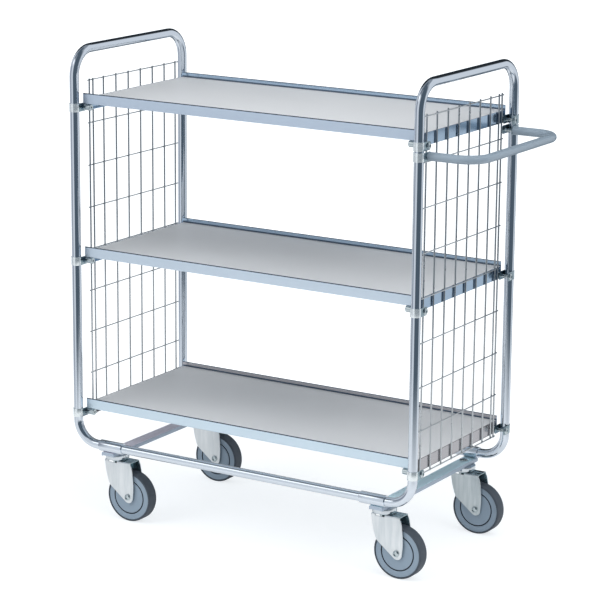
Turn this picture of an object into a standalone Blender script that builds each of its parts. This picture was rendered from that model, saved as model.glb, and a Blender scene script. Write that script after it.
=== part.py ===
"""Shelf trolley: three trays between two bent tube hoops, on four swivel casters.

X runs along the length, with the push handle at +X. Y runs across the width, and Z up from the floor.
The origin lies on the floor, in the middle of the whole footprint. All lengths are in metres.
"""
from itertools import accumulate
from math import acos, atan2, cos, pi, radians, sin, tan

import bmesh
import bpy
from mathutils import Matrix, Vector

# Gaps and fits
CONTACT_GAP = 0.0003
TUBE_FIT = 0.0003
PIN_FIT = 0.0004
OVERRUN = 0.004

# End hoops and lower side rails, bent from one size of tube
TUBE_DIAMETER = 0.0225
TUBE_WALL = 0.0015
POST_SPACING_X = 0.945
POST_BESIDE_SHELF = 0.0167
HOOP_HEIGHT = 0.9695
FOOT_BEND_RADIUS = 0.058
CROWN_BEND_RADIUS = 0.063

# Sleeves that join hoops and side rails
SLEEVE_DIAMETER = 0.028
SLEEVE_LENGTH = 0.0675
SLEEVE_PAST_CASTER = 0.024
SLEEVE_CHAMFER = 0.0006

# Cross members, shallow channels that lie under the front and rear sleeves with their legs down
CHANNEL_WIDTH = 0.035
CHANNEL_HEIGHT = 0.010
CHANNEL_SHEET = 0.0025
CHANNEL_CORNER = 0.0035
CHANNEL_PAST_RAIL = 0.007

# Shelves, heights above the axis of the lower rails
TOP_SHELF_BELOW_CROSSBAR = 0.1031
SHELF_HEIGHTS = {"bottom": 0.1078, "middle": 0.4900, "top": HOOP_HEIGHT - TOP_SHELF_BELOW_CROSSBAR}
SHELF_WIDTH = 0.4212
SHELF_SHEET = 0.0015
SIDE_RAIL_HEIGHT = 0.026
SIDE_RAIL_LEDGE = 0.018
END_RAIL_LEDGE = 0.012
BOARD_THICKNESS = 0.012

# Clamps that hold the shelves and the handle to the posts
CLAMP_SHEET = 0.0013
CLAMP_HEIGHT = 0.0205
CLAMP_EAR_REACH = 0.030
CLAMP_TIP_RADIUS = 0.006
BOLT_DIAMETER = 0.008
BOLT_FROM_POST = 0.0197
BOLT_HEAD_DIAMETER = 0.0165
BOLT_HEAD_HEIGHT = 0.0046
NUT_DIAMETER = 0.015
NUT_LENGTH = 0.0205

# Push handle
HANDLE_DIAMETER = 0.020
HANDLE_WALL = 0.002
HANDLE_FROM_POST = 0.0228
HANDLE_REACH = 0.1345
HANDLE_BEND_RADIUS = 0.055
HANDLE_CLAMP_GAP = 0.0033
PLUG_LENGTH = 0.022
HANDLE_BOLT_REACH = 0.018

# Mesh panels, welded wire outside the shelf ends
LATERAL_WIRE_DIAMETER = 0.0030
UPRIGHT_WIRE_DIAMETER = 0.0042
MESH_ROWS = 9
MESH_BELOW_END_RAIL = 0.0043
MESH_ABOVE_SHELF = 0.0269
MESH_PAIR_GAP = 0.0145
MESH_NEXT_GAP = 0.0427
MESH_PITCH = 0.0513
MESH_SIDE_MARGIN = 0.020
MESH_LAST_GAP = 0.0479
MESH_PAIR_TIP = 0.0028
MESH_FAR_TIP = 0.0163
MESH_UPRIGHT_TIP = 0.004
MESH_WELD_DEPTH = 0.0006
MESH_PAIR_FROM_SIDE = {"left": 0.0287, "right": 0.0236}

# Casters
CASTER_SPACING_X = 0.761
CASTER_INSIDE_RAIL = 0.0347
CASTER_TRAIL = 0.0441
WHEEL_DIAMETER = 0.125
WHEEL_WIDTH = 0.032
TYRE_DEPTH = 0.0042
TYRE_SHOULDER = 0.0036
CORE_WIDTH = 0.029
HUB_DIAMETER = 0.026
HUB_GAP = 0.0012
AXLE_DIAMETER = 0.010
AXLE_HEAD_DIAMETER = 0.016
AXLE_HEAD_HEIGHT = 0.004
AXLE_NUT_ACROSS = 0.017
AXLE_NUT_HEIGHT = 0.007
AXLE_STUB = 0.0015
FORK_WIDTH = 0.041
FORK_SHEET = 0.0025
FORK_CORNER = 0.0035
FORK_HEIGHT = 0.0885
FORK_NOSE = 0.0235
FORK_NOSE_BULGE = 0.0030
FORK_KNEE_FORWARD = 0.0090
FORK_KNEE_HEIGHT = 0.0250
FORK_TAIL = 0.0520
FORK_TAIL_BULGE = 0.0050
FORK_TIP_RADIUS = 0.0132
FORK_TIP_BEHIND_AXLE = 0.0018
FORK_TIP_BELOW_AXLE = 0.0012
FORK_SLOT_LENGTH = 0.024
FORK_SLOT_HEIGHT = 0.0055
RACE_DIAMETER = 0.040
RACE_HEIGHT = 0.0014
CUP_DIAMETER = 0.059
CUP_HEIGHT = 0.0126
CUP_EDGE = 0.003
COLLAR_DIAMETER = 0.022
KINGPIN_DIAMETER = 0.012
KINGPIN_HEAD_DIAMETER = 0.022
KINGPIN_HEAD_HEIGHT = 0.004
KINGPIN_NUT_ACROSS = 0.019
KINGPIN_NUT_HEIGHT = 0.010
KINGPIN_STUB = 0.003

# How finely round shapes are faceted
TUBE_BEVEL_RESOLUTION = 3
WIRE_BEVEL_RESOLUTION = 1
TUBE_SIDES = 2 * TUBE_BEVEL_RESOLUTION + 4
BEND_STEPS = 5
CORNER_STEPS = 2
FORK_ARC_STEPS = 4
STRAP_STEPS = 8
WHEEL_STEPS = 24
RING_STEPS = 16
BOLT_STEPS = 8
HEXAGON_SIDES = 6
HEAD_SHOULDER_SHARE = 0.3
SHARP_ANGLE = radians(35)
MERGE_DISTANCE = 0.00001

# Places that follow from the sizes above
TUBE_RADIUS = TUBE_DIAMETER / 2
SLEEVE_RADIUS = SLEEVE_DIAMETER / 2
WHEEL_RADIUS = WHEEL_DIAMETER / 2
POST_X = POST_SPACING_X / 2
SHELF_SIDE = SHELF_WIDTH / 2
POST_Y = SHELF_SIDE + POST_BESIDE_SHELF
CASTER_X = CASTER_SPACING_X / 2
CASTER_Y = POST_Y - CASTER_INSIDE_RAIL
CROWN_TOP = WHEEL_RADIUS + FORK_HEIGHT
RACE_BOTTOM = CROWN_TOP + CONTACT_GAP
CHANNEL_BOTTOM = RACE_BOTTOM + RACE_HEIGHT + CUP_HEIGHT + CONTACT_GAP
CHANNEL_TOP = CHANNEL_BOTTOM + CHANNEL_HEIGHT
RAIL_Z = CHANNEL_TOP + CONTACT_GAP + SLEEVE_RADIUS
CROSSBAR_Z = RAIL_Z + HOOP_HEIGHT
SLEEVE_OUTER_END = CASTER_X + SLEEVE_PAST_CASTER
SLEEVE_MIDDLE = SLEEVE_OUTER_END - SLEEVE_LENGTH / 2
CLAMP_BORE = TUBE_RADIUS + CONTACT_GAP
CLAMP_OUTER = CLAMP_BORE + CLAMP_SHEET
SHELF_END = POST_X - CLAMP_OUTER - CONTACT_GAP
BOARD_TOP = SHELF_SHEET + CONTACT_GAP + BOARD_THICKNESS - SIDE_RAIL_HEIGHT
BOLT_Y = POST_Y - BOLT_FROM_POST
CLAMP_BELOW_SHELF = SIDE_RAIL_HEIGHT + CONTACT_GAP + NUT_DIAMETER / 2
END_RAIL_BOTTOM = -CLAMP_BELOW_SHELF - NUT_DIAMETER / 2
UPRIGHT_WIRE_X = SHELF_END + CONTACT_GAP + UPRIGHT_WIRE_DIAMETER / 2
LATERAL_WIRE_X = UPRIGHT_WIRE_X + (UPRIGHT_WIRE_DIAMETER + LATERAL_WIRE_DIAMETER) / 2 - MESH_WELD_DEPTH
SHELF_Z = {level: RAIL_Z + height for level, height in SHELF_HEIGHTS.items()}
TOP_CLAMP_Z = SHELF_Z["top"] - CLAMP_BELOW_SHELF
HANDLE_Z = TOP_CLAMP_Z - CLAMP_HEIGHT - HANDLE_CLAMP_GAP
HANDLE_Y = POST_Y - HANDLE_FROM_POST
HANDLE_START = POST_X + CLAMP_OUTER + CONTACT_GAP
HANDLE_GRIP_X = POST_X + HANDLE_REACH
FOOTPRINT_LEFT = -POST_X - CLAMP_OUTER + CONTACT_GAP - BOLT_HEAD_HEIGHT
FOOTPRINT_RIGHT = HANDLE_GRIP_X + HANDLE_DIAMETER / 2
ORIGIN_X = (FOOTPRINT_LEFT + FOOTPRINT_RIGHT) / 2

# Turns that lay a shape made about Z, or drawn in the XY plane, the way it is built in
Z_TO_X = Matrix.Rotation(pi / 2, 4, "Y")
Z_TO_Y = Matrix.Rotation(-pi / 2, 4, "X")
Y_TO_Z = Matrix.Rotation(pi / 2, 4, "X")
TO_YZ = Matrix.Rotation(pi / 2, 4, "Z") @ Y_TO_Z

ENDS = {"left": -1, "right": 1}
SIDES = {"front": -1, "rear": 1}
CORNERS = {f"{side}_{end}": (ENDS[end], SIDES[side]) for side in SIDES for end in ENDS}

for old in list(bpy.data.objects):
    bpy.data.objects.remove(old)

PARTS = bpy.data.collections.new("shelf_trolley")
CUTTERS = bpy.data.collections.new("cutters")
bpy.context.scene.collection.children.link(PARTS)
bpy.context.scene.collection.children.link(CUTTERS)


def finish(name, colour, roughness, metallic):
    """A plain material in one colour."""
    material = bpy.data.materials.new(name)
    material.use_nodes = True
    shader = material.node_tree.nodes["Principled BSDF"]
    shader.inputs["Base Color"].default_value = (*colour, 1)
    shader.inputs["Roughness"].default_value = roughness
    shader.inputs["Metallic"].default_value = metallic
    return material


CHROME = finish("chrome_plate", (0.66, 0.70, 0.75), 0.12, 1)
ZINC = finish("zinc_plate", (0.62, 0.68, 0.74), 0.32, 1)
FORK_ZINC = finish("bright_zinc", (0.72, 0.77, 0.80), 0.35, 1)
WIRE = finish("wire_zinc", (0.60, 0.63, 0.64), 0.30, 1)
LAMINATE = finish("grey_laminate", (0.66, 0.67, 0.66), 0.45, 0)
POWDER_COAT = finish("handle_coat", (0.28, 0.33, 0.39), 0.40, 0)
BOLT_ZINC = finish("bolt_zinc", (0.55, 0.59, 0.62), 0.28, 1)
RUBBER = finish("tread_rubber", (0.070, 0.078, 0.090), 0.60, 0)
WHEEL_PLASTIC = finish("wheel_plastic", (0.27, 0.31, 0.36), 0.45, 0)


def empty(name, location, parent=None):
    """A frame of reference that carries pieces."""
    marker = bpy.data.objects.new(name, None)
    marker.location = location
    marker.parent = parent
    PARTS.objects.link(marker)
    return marker


TROLLEY = empty("trolley", (-ORIGIN_X, 0, 0))


def piece(name, data, material, location=(0, 0, 0), half_turn=False, parent=TROLLEY):
    """A finished sub-part in its parent's frame, turned half round if it faces the other way."""
    body = bpy.data.objects.new(name, data)
    body.location = location
    body.rotation_euler.z = pi if half_turn else 0
    body.parent = parent
    data.materials.clear()
    data.materials.append(material)
    PARTS.objects.link(body)
    return body


def blank(name, data):
    """A working object that modifiers act on or that cuts another."""
    work = bpy.data.objects.new(name, data)
    work.hide_render = True
    work.display_type = "WIRE"
    CUTTERS.objects.link(work)
    return work


def baked(work):
    """The mesh of a working object as its modifiers leave it, welded. The object goes."""
    evaluated = work.evaluated_get(bpy.context.evaluated_depsgraph_get())
    mesh = bpy.data.meshes.new_from_object(evaluated)
    mesh.transform(work.matrix_world)
    bm = bmesh.new()
    bm.from_mesh(mesh)
    bmesh.ops.remove_doubles(bm, verts=bm.verts, dist=MERGE_DISTANCE)
    bmesh.ops.recalc_face_normals(bm, faces=bm.faces)
    bm.to_mesh(mesh)
    bm.free()
    bpy.data.objects.remove(work)
    return mesh


def shade_round(mesh):
    """Smooth shading with the folds kept sharp."""
    mesh.shade_smooth()
    mesh.set_sharp_from_angle(angle=SHARP_ANGLE)
    return mesh


def moved(mesh, matrix):
    """The same mesh after a turn or a shift."""
    mesh.transform(matrix)
    return mesh


def combined(mesh, *steps):
    """The mesh after a row of Boolean steps, each an operation and the mesh it works with."""
    work = blank("work", mesh)
    tools = []
    for operation, tool_mesh in steps:
        tool = blank("tool", tool_mesh)
        cut = work.modifiers.new(operation.lower(), "BOOLEAN")
        cut.operation = operation
        cut.object = tool
        tools.append(tool)
    result = baked(work)
    for tool in tools:
        bpy.data.objects.remove(tool)
    return result


def boxes(*corner_pairs):
    """A mesh of boxes, each given by its lowest and highest corners."""
    bm = bmesh.new()
    for low, high in corner_pairs:
        low, high = Vector(low), Vector(high)
        size = Matrix.Diagonal(high - low).to_4x4()
        bmesh.ops.create_cube(bm, size=1, matrix=Matrix.Translation((low + high) / 2) @ size)
    mesh = bpy.data.meshes.new("boxes")
    bm.to_mesh(mesh)
    bm.free()
    return mesh


def rods(radius, steps, *axes):
    """A mesh of round rods, each given by its two end points, with flats at the radius or outside it."""
    bm = bmesh.new()
    for start, end in axes:
        start, end = Vector(start), Vector(end)
        run = end - start
        pose = Matrix.Translation((start + end) / 2) @ run.to_track_quat("Z", "Y").to_matrix().to_4x4()
        outer = opened(radius, steps)
        bmesh.ops.create_cone(bm, cap_ends=True, segments=steps, radius1=outer, radius2=outer,
                              depth=run.length, matrix=pose)
    mesh = bpy.data.meshes.new("rods")
    bm.to_mesh(mesh)
    bm.free()
    return mesh


def filleted(corners, steps, closed=False):
    """Points along a path whose corners, given as (x, y, z, radius), are rounded."""
    places = [Vector(corner[:3]) for corner in corners]
    points = []
    for index, (place, corner) in enumerate(zip(places, corners)):
        radius = corner[3]
        if radius == 0 or (not closed and index in (0, len(corners) - 1)):
            points.append(place)
            continue
        back = (places[index - 1] - place).normalized()
        ahead = (places[(index + 1) % len(places)] - place).normalized()
        half = back.angle(ahead) / 2
        centre = place + (back + ahead).normalized() * (radius / sin(half))
        first = place + back * (radius / tan(half)) - centre
        last = place + ahead * (radius / tan(half)) - centre
        turn = first.angle(last)
        for step in range(steps + 1):
            share = step / steps
            spoke = first * sin((1 - share) * turn) + last * sin(share * turn)
            points.append(centre + spoke / sin(turn))
    return points


def bulged(start, end, bulge, steps):
    """Points between two outline points on an arc that stands out to the left by the bulge."""
    start, end = Vector(start), Vector(end)
    chord = end - start
    outwards = Vector((-chord.y, chord.x)).normalized()
    radius = (chord.length ** 2 / 4 + bulge ** 2) / (2 * bulge)
    centre = (start + end) / 2 + outwards * (bulge - radius)
    sweep = 2 * acos((radius - bulge) / radius)
    first = start - centre
    return [centre + Matrix.Rotation(-sweep * step / steps, 2) @ first for step in range(1, steps)]


def curve(name, paths, cyclic=False, dimensions="3D"):
    """A curve of straight-run splines."""
    line = bpy.data.curves.new(name, "CURVE")
    line.dimensions = dimensions
    for path in paths:
        spline = line.splines.new("POLY")
        spline.points.add(len(path) - 1)
        for point, place in zip(spline.points, path):
            point.co = (*place, 1) if len(place) == 3 else (*place, 0, 1)
        spline.use_cyclic_u = cyclic
    return line


def plate(thickness, *outlines):
    """A flat plate in the XY plane, centred on it, from its outline and any holes."""
    line = curve("outline", outlines, cyclic=True, dimensions="2D")
    line.fill_mode = "BOTH"
    line.extrude = thickness / 2
    return baked(blank("plate", line))


def hollow_tube(path, radius, wall):
    """The mesh of a bent tube, open at both ends."""
    line = curve("tube", [path])
    line.bevel_depth = radius
    line.bevel_resolution = TUBE_BEVEL_RESOLUTION
    work = blank("tube", line)
    shell = work.modifiers.new("wall", "SOLIDIFY")
    shell.thickness = wall
    shell.offset = -1
    return shade_round(baked(work))


def wires(diameter, paths):
    """The mesh of straight wires with closed ends."""
    line = curve("wires", paths)
    line.bevel_depth = diameter / 2
    line.bevel_resolution = WIRE_BEVEL_RESOLUTION
    line.use_fill_caps = True
    return baked(blank("wires", line))


def turned(profile, steps, ring=False):
    """A mesh turned about Z from (radius, height) points that run down its outer side."""
    mesh = bpy.data.meshes.new("profile")
    bm = bmesh.new()
    verts = [bm.verts.new((radius, 0, height)) for radius, height in profile]
    for upper, lower in zip(verts, verts[1:]):
        bm.edges.new((upper, lower))
    if ring:
        bm.edges.new((verts[-1], verts[0]))
    bm.to_mesh(mesh)
    bm.free()
    work = blank("turned", mesh)
    screw = work.modifiers.new("turn", "SCREW")
    screw.steps = steps
    screw.render_steps = steps
    screw.use_merge_vertices = True
    screw.merge_threshold = MERGE_DISTANCE
    return shade_round(baked(work))


def arc(radius, start, end, steps):
    """Points on an arc about the origin, both ends included."""
    angles = [start + (end - start) * step / steps for step in range(steps + 1)]
    return [(radius * cos(angle), radius * sin(angle)) for angle in angles]


def ring_profile(outer, bore, bottom, top):
    """The four corners of a plain ring."""
    return [(outer, top), (outer, bottom), (bore, bottom), (bore, top)]


def opened(radius, steps):
    """The corner radius of a faceted bore whose flats lie at the radius."""
    return radius / cos(pi / steps)


def end_hoops():
    """Each hoop is one tube: lower run, foot bend, post, crossbar, and the same down the other side."""
    inner = SLEEVE_MIDDLE + CONTACT_GAP
    for end, sign in ENDS.items():
        corners = [
            (sign * inner, -POST_Y, RAIL_Z, 0),
            (sign * POST_X, -POST_Y, RAIL_Z, FOOT_BEND_RADIUS),
            (sign * POST_X, -POST_Y, CROSSBAR_Z, CROWN_BEND_RADIUS),
            (sign * POST_X, POST_Y, CROSSBAR_Z, CROWN_BEND_RADIUS),
            (sign * POST_X, POST_Y, RAIL_Z, FOOT_BEND_RADIUS),
            (sign * inner, POST_Y, RAIL_Z, 0),
        ]
        tube = hollow_tube(filleted(corners, BEND_STEPS), TUBE_RADIUS, TUBE_WALL)
        piece(f"end_hoop_{end}", tube, CHROME)


def side_rails():
    """Straight tubes between the sleeves."""
    reach = SLEEVE_MIDDLE - CONTACT_GAP
    tube = hollow_tube([Vector((-reach, 0, 0)), Vector((reach, 0, 0))], TUBE_RADIUS, TUBE_WALL)
    for side, sign in SIDES.items():
        piece(f"side_rail_{side}", tube, CHROME, (0, sign * POST_Y, RAIL_Z))


def rail_sleeves():
    """Short tubes that the hoop ends and the side rails push into."""
    bore = opened(TUBE_RADIUS + TUBE_FIT, RING_STEPS)
    half = SLEEVE_LENGTH / 2
    profile = [
        (SLEEVE_RADIUS - SLEEVE_CHAMFER, half), (SLEEVE_RADIUS, half - SLEEVE_CHAMFER),
        (SLEEVE_RADIUS, SLEEVE_CHAMFER - half), (SLEEVE_RADIUS - SLEEVE_CHAMFER, -half),
        (bore, -half), (bore, half),
    ]
    sleeve = moved(turned(profile, RING_STEPS, ring=True), Z_TO_X)
    for corner, (end, side) in CORNERS.items():
        piece(f"rail_sleeve_{corner}", sleeve, CHROME, (end * SLEEVE_MIDDLE, side * POST_Y, RAIL_Z))


def cross_members():
    """Shallow folded channels, legs down, that lie under the sleeves and are closed at both ends.

    The channel is made on the floor, with X measured from its middle.
    """
    sheet, bend, half = CHANNEL_SHEET, CHANNEL_CORNER, CHANNEL_WIDTH / 2
    half_length = POST_Y + CHANNEL_PAST_RAIL
    low, high = CHANNEL_BOTTOM, CHANNEL_TOP
    section = [
        (-half, low, 0, 0), (-half, high, 0, bend), (half, high, 0, bend), (half, low, 0, 0),
        (half - sheet, low, 0, 0), (half - sheet, high - sheet, 0, bend - sheet),
        (sheet - half, high - sheet, 0, bend - sheet), (sheet - half, low, 0, 0),
    ]
    channel = moved(plate(2 * half_length, filleted(section, CORNER_STEPS, closed=True)), Y_TO_Z)
    inset, tab_end = sheet / 2, half_length - CONTACT_GAP
    tabs = boxes(
        ((inset - half, -tab_end, low + inset), (half - inset, sheet - tab_end, high - inset)),
        ((inset - half, tab_end - sheet, low + inset), (half - inset, tab_end, high - inset)),
    )
    holes = rods(KINGPIN_DIAMETER / 2 + PIN_FIT, BOLT_STEPS, *[
        ((0, side * CASTER_Y, low), (0, side * CASTER_Y, high + OVERRUN)) for side in SIDES.values()
    ])
    member = combined(channel, ("UNION", tabs), ("DIFFERENCE", holes))
    for end, sign in ENDS.items():
        piece(f"cross_member_{end}", member, ZINC, (sign * CASTER_X, 0, 0))


def end_plate():
    """The web of a shelf's end rail in the YZ plane, with round lobes where the bolts pass."""
    side, lobe, bolt_z = SHELF_SIDE, NUT_DIAMETER / 2, -CLAMP_BELOW_SHELF
    meets_side = acos((side - BOLT_Y) / lobe)
    round_lobe = [(BOLT_Y + y, bolt_z + z) for y, z in arc(lobe, -pi / 2, meets_side, RING_STEPS // 2)]
    other_lobe = [(-y, z) for y, z in reversed(round_lobe)]
    outline = [*round_lobe, (side, BOARD_TOP), (-side, BOARD_TOP), *other_lobe]
    hole = arc(opened(BOLT_DIAMETER / 2 + CONTACT_GAP, BOLT_STEPS), 0, 2 * pi, BOLT_STEPS)[:-1]
    holes = [[(y + middle, z + bolt_z) for y, z in hole] for middle in (-BOLT_Y, BOLT_Y)]
    return moved(plate(SHELF_SHEET, outline, *holes), TO_YZ)


def shelf_frame():
    """Angle rails front and rear, and deeper end rails. Z is zero at the side rails' top edge."""
    end, side, sheet = SHELF_END, SHELF_SIDE, SHELF_SHEET
    ledge_reach = BOLT_Y - NUT_DIAMETER / 2 - 2 * CONTACT_GAP
    low = END_RAIL_BOTTOM
    side_webs = boxes(
        ((-end, -side, -SIDE_RAIL_HEIGHT), (end, sheet - side, 0)),
        ((-end, side - sheet, -SIDE_RAIL_HEIGHT), (end, side, 0)),
    )
    side_ledges = boxes(
        ((-end, -side, -SIDE_RAIL_HEIGHT), (end, SIDE_RAIL_LEDGE - side, sheet - SIDE_RAIL_HEIGHT)),
        ((-end, side - SIDE_RAIL_LEDGE, -SIDE_RAIL_HEIGHT), (end, side, sheet - SIDE_RAIL_HEIGHT)),
    )
    end_ledges = boxes(
        ((-end, -ledge_reach, low), (END_RAIL_LEDGE - end, ledge_reach, low + sheet)),
        ((end - END_RAIL_LEDGE, -ledge_reach, low), (end, ledge_reach, low + sheet)),
    )
    middle = end - sheet / 2
    return combined(
        side_webs, ("UNION", side_ledges),
        ("UNION", moved(end_plate(), Matrix.Translation((-middle, 0, 0)))),
        ("UNION", moved(end_plate(), Matrix.Translation((middle, 0, 0)))),
        ("UNION", end_ledges),
    )


def shelves():
    """Three trays: a frame each, with a board that lies on the side rails' ledges."""
    frame = shelf_frame()
    half_length = SHELF_END - SHELF_SHEET - CONTACT_GAP
    half_width = SHELF_SIDE - SHELF_SHEET - CONTACT_GAP
    underside = BOARD_TOP - BOARD_THICKNESS
    board = boxes(((-half_length, -half_width, underside), (half_length, half_width, BOARD_TOP)))
    for level, height in SHELF_Z.items():
        piece(f"shelf_frame_{level}", frame, ZINC, (0, 0, height))
        piece(f"shelf_board_{level}", board, LAMINATE, (0, 0, height))


def mesh_panels():
    """Welded wire panels outside the shelf ends. The right one is the left one turned half round."""
    end_gaps = MESH_PAIR_GAP + MESH_NEXT_GAP + MESH_LAST_GAP
    pitch_count = int((SHELF_WIDTH - 2 * MESH_SIDE_MARGIN - end_gaps) / MESH_PITCH)
    gaps = [MESH_PAIR_GAP, MESH_NEXT_GAP] + pitch_count * [MESH_PITCH] + [MESH_LAST_GAP]
    offsets = [0, *accumulate(gaps)]
    low = SHELF_Z["bottom"] + END_RAIL_BOTTOM - MESH_BELOW_END_RAIL
    high = SHELF_Z["top"] + MESH_ABOVE_SHELF
    row_pitch = (high - low) / (MESH_ROWS - 1)
    for end, sign in ENDS.items():
        pair_y = sign * (SHELF_SIDE - MESH_PAIR_FROM_SIDE[end])
        tips = (pair_y + sign * MESH_PAIR_TIP, pair_y - sign * (offsets[-1] + MESH_FAR_TIP))
        laterals = [
            [(sign * LATERAL_WIRE_X, y, low + row * row_pitch) for y in tips]
            for row in range(MESH_ROWS)
        ]
        uprights = [
            [(sign * UPRIGHT_WIRE_X, pair_y - sign * offset, z)
             for z in (low - MESH_UPRIGHT_TIP, high + MESH_UPRIGHT_TIP)]
            for offset in offsets
        ]
        panel = combined(
            wires(UPRIGHT_WIRE_DIAMETER, uprights), ("UNION", wires(LATERAL_WIRE_DIAMETER, laterals)),
        )
        piece(f"mesh_panel_{end}", shade_round(panel), WIRE)


def clamp_strap(ear_reach):
    """A strap bent round the post, whose axis is at the origin, with two ears that reach towards -Y."""
    bore = opened(CLAMP_BORE, 2 * STRAP_STEPS)
    section = [
        (CLAMP_OUTER, -ear_reach), *arc(CLAMP_OUTER, 0, pi, STRAP_STEPS), (-CLAMP_OUTER, -ear_reach),
        (-CLAMP_BORE, -ear_reach), *arc(bore, pi, 0, STRAP_STEPS), (CLAMP_BORE, -ear_reach),
    ]
    strap = plate(CLAMP_HEIGHT + 2 * OVERRUN, section)
    half = CLAMP_HEIGHT / 2
    beyond = CLAMP_OUTER + OVERRUN
    side_view = filleted([
        (-ear_reach, -half, 0, CLAMP_TIP_RADIUS), (beyond, -half, 0, 0),
        (beyond, half, 0, 0), (-ear_reach, half, 0, CLAMP_TIP_RADIUS),
    ], CORNER_STEPS, closed=True)
    return combined(strap, ("INTERSECT", moved(plate(2 * beyond, side_view), TO_YZ)))


def clamp(ear_reach, bolt_from_post, bolt_profile, way):
    """A strap with its bolt through both ears, the head outside the ear at +X, or at -X where way is -1."""
    to_ear = Matrix.Translation((way * (CLAMP_OUTER - CONTACT_GAP), -bolt_from_post, 0))
    bolt = moved(turned(bolt_profile, BOLT_STEPS), to_ear @ Matrix.Rotation(way * pi / 2, 4, "Y"))
    return shade_round(combined(clamp_strap(ear_reach), ("UNION", bolt)))


def head_profile(diameter, height):
    """The points of a low domed bolt head that stands on Z zero."""
    radius, shoulder = diameter / 2, height * HEAD_SHOULDER_SHARE
    rise = (height - shoulder) / radius
    dome = [(x, shoulder + y * rise) for x, y in arc(radius, pi / 2, 0, CORNER_STEPS)]
    return [(0, height), *dome[1:], (radius, 0)]


def pin(diameter, length, head_diameter, head_height, nut_across, nut_height, nut_seat):
    """A round-headed bolt, its seat at the origin, whose shank runs down through its nut."""
    shank = diameter / 2
    profile = head_profile(head_diameter, head_height) + [(shank, 0), (shank, -length), (0, -length)]
    bolt = turned(profile, BOLT_STEPS)
    nut = plate(nut_height, arc(opened(nut_across / 2, HEXAGON_SIDES), 0, 2 * pi, HEXAGON_SIDES)[:-1])
    moved(nut, Matrix.Translation((0, 0, -nut_seat - nut_height / 2)))
    return shade_round(combined(bolt, ("UNION", nut)))


def shelf_clamps():
    """Four clamps a shelf, whose bolts pass both ears and the end rail into round sleeve nuts behind it."""
    shank, nut = BOLT_DIAMETER / 2, NUT_DIAMETER / 2
    nut_seat = CLAMP_OUTER - CONTACT_GAP + POST_X - SHELF_END + SHELF_SHEET + CONTACT_GAP
    nut_end = nut_seat + NUT_LENGTH
    profile = head_profile(BOLT_HEAD_DIAMETER, BOLT_HEAD_HEIGHT) + [
        (shank, 0), (shank, -nut_seat), (nut, -nut_seat), (nut, -nut_end), (0, -nut_end),
    ]
    meshes = {way: clamp(CLAMP_EAR_REACH, BOLT_FROM_POST, profile, way) for way in (1, -1)}
    for level, height in SHELF_Z.items():
        for corner, (end, side) in CORNERS.items():
            piece(f"post_clamp_{level}_{corner}", meshes[end * side], BOLT_ZINC,
                  (end * POST_X, side * POST_Y, height - CLAMP_BELOW_SHELF), half_turn=side < 0)


def push_handle():
    """A bent tube that butts on its clamps' outer ears, with a threaded plug in each end for the bolt."""
    corners = [
        (HANDLE_START, -HANDLE_Y, HANDLE_Z, 0),
        (HANDLE_GRIP_X, -HANDLE_Y, HANDLE_Z, HANDLE_BEND_RADIUS),
        (HANDLE_GRIP_X, HANDLE_Y, HANDLE_Z, HANDLE_BEND_RADIUS),
        (HANDLE_START, HANDLE_Y, HANDLE_Z, 0),
    ]
    tube = hollow_tube(filleted(corners, BEND_STEPS), HANDLE_DIAMETER / 2, HANDLE_WALL)
    piece("handle", tube, POWDER_COAT)
    plug_radius = (HANDLE_DIAMETER / 2 - HANDLE_WALL) * cos(pi / TUBE_SIDES) - CONTACT_GAP
    plug_bore = opened(BOLT_DIAMETER / 2 + CONTACT_GAP, BOLT_STEPS)
    plug_profile = ring_profile(plug_radius, plug_bore, 0, PLUG_LENGTH)
    plug = moved(turned(plug_profile, BOLT_STEPS, ring=True), Z_TO_X)
    shank = BOLT_DIAMETER / 2
    length = CLAMP_OUTER - CONTACT_GAP + HANDLE_START - POST_X + HANDLE_BOLT_REACH
    head = head_profile(BOLT_HEAD_DIAMETER, BOLT_HEAD_HEIGHT)
    profile = head + [(shank, 0), (shank, -length), (0, -length)]
    ear_reach = CLAMP_EAR_REACH + HANDLE_FROM_POST - BOLT_FROM_POST
    for name, side in SIDES.items():
        strap = clamp(ear_reach, HANDLE_FROM_POST, profile, -side)
        post = (POST_X, side * POST_Y, HANDLE_Z)
        piece(f"handle_clamp_{name}", strap, BOLT_ZINC, post, half_turn=side < 0)
        piece(f"handle_plug_{name}", plug, BOLT_ZINC, (HANDLE_START, side * HANDLE_Y, HANDLE_Z))


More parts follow.
